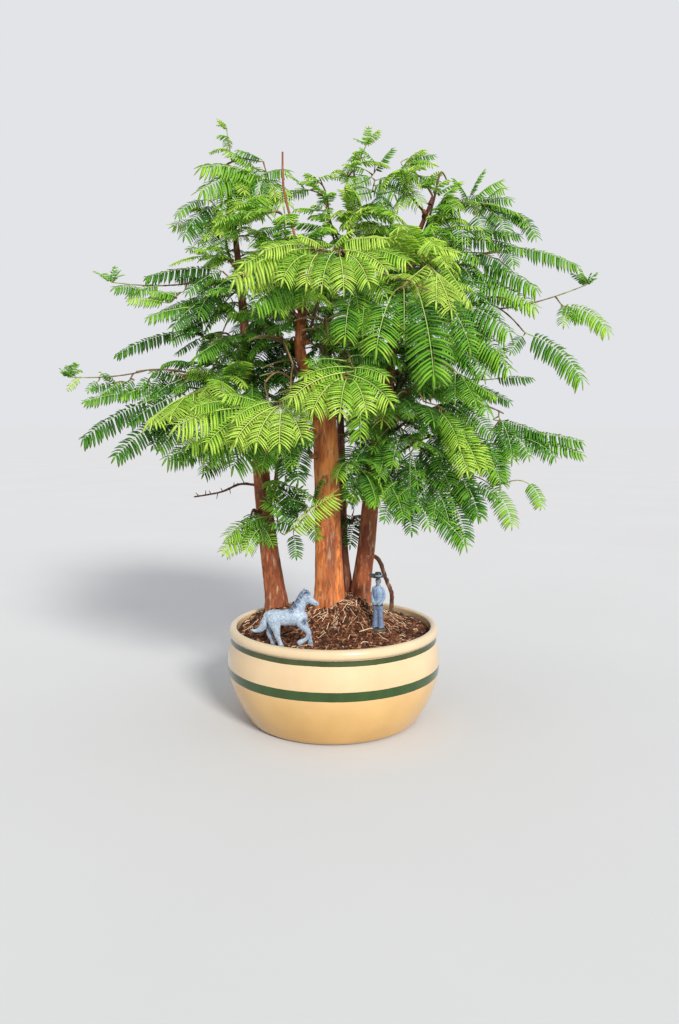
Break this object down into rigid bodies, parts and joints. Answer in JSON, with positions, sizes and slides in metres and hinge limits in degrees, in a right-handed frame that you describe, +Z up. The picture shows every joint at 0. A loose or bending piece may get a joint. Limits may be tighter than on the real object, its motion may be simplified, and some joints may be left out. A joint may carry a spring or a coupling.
{
  "type": "bonsai forest",
  "caption": "Dawn redwood bonsai forest: straight reddish trunks with layered feathery fronds on a mound of soil in a round glazed bowl with green bands, with a toy horse and a toy man.",
  "frame": {"origin": "centre of the bowl's flat bottom", "axes": "+X to the right of the forest's front, +Y to its back, +Z up; the front looks along -Y"},
  "size_m": [0.4928, 0.2979, 0.5674],
  "materials": {
    "glazed_bowl": "gloss",
    "soil": "matte",
    "bark": "matte",
    "foliage": "satin",
    "toy_horse": "satin",
    "toy_man": "satin"
  },
  "bodies": {
    "root": {"bowl": "glazed_bowl", "horse": "toy_horse", "man": "toy_man", "shoot_left_01": "foliage", "shoot_left_02": "foliage", "shoot_left_03": "foliage", "shoot_left_04": "foliage", "shoot_left_05": "foliage", "shoot_left_06": "foliage", "shoot_left_07": "foliage", "shoot_left_08": "foliage", "shoot_left_09": "foliage", "shoot_left_10": "foliage", "shoot_left_11": "foliage", "shoot_left_12": "foliage", "shoot_left_13": "foliage", "shoot_left_14": "foliage", "shoot_left_15": "foliage", "shoot_main_01": "foliage", "shoot_main_02": "foliage", "shoot_main_03": "foliage", "shoot_main_04": "foliage", "shoot_main_05": "foliage", "shoot_main_06": "foliage", "shoot_main_07": "foliage", "shoot_main_08": "foliage", "shoot_main_09": "foliage", "shoot_main_10": "foliage", "shoot_rear_01": "foliage", "shoot_rear_02": "foliage", "shoot_rear_03": "foliage", "shoot_rear_04": "foliage", "shoot_rear_05": "foliage", "shoot_rear_06": "foliage", "shoot_rear_07": "foliage", "shoot_rear_08": "foliage", "shoot_rear_09": "foliage", "shoot_rear_10": "foliage", "shoot_right_01": "foliage", "shoot_right_02": "foliage", "shoot_right_03": "foliage", "shoot_right_04": "foliage", "shoot_right_05": "foliage", "shoot_right_06": "foliage", "shoot_right_07": "foliage", "shoot_right_08": "foliage", "shoot_right_09": "foliage", "shoot_right_10": "foliage", "shoot_right_11": "foliage", "shoot_right_12": "foliage", "shoot_right_13": "foliage", "shoot_right_14": "foliage", "shoot_right_15": "foliage", "shoot_right_16": "foliage", "soil": "soil", "trunk_left": "bark", "trunk_main": "bark", "trunk_rear": "bark", "trunk_right": "bark"}
  },
  "joints": []
}
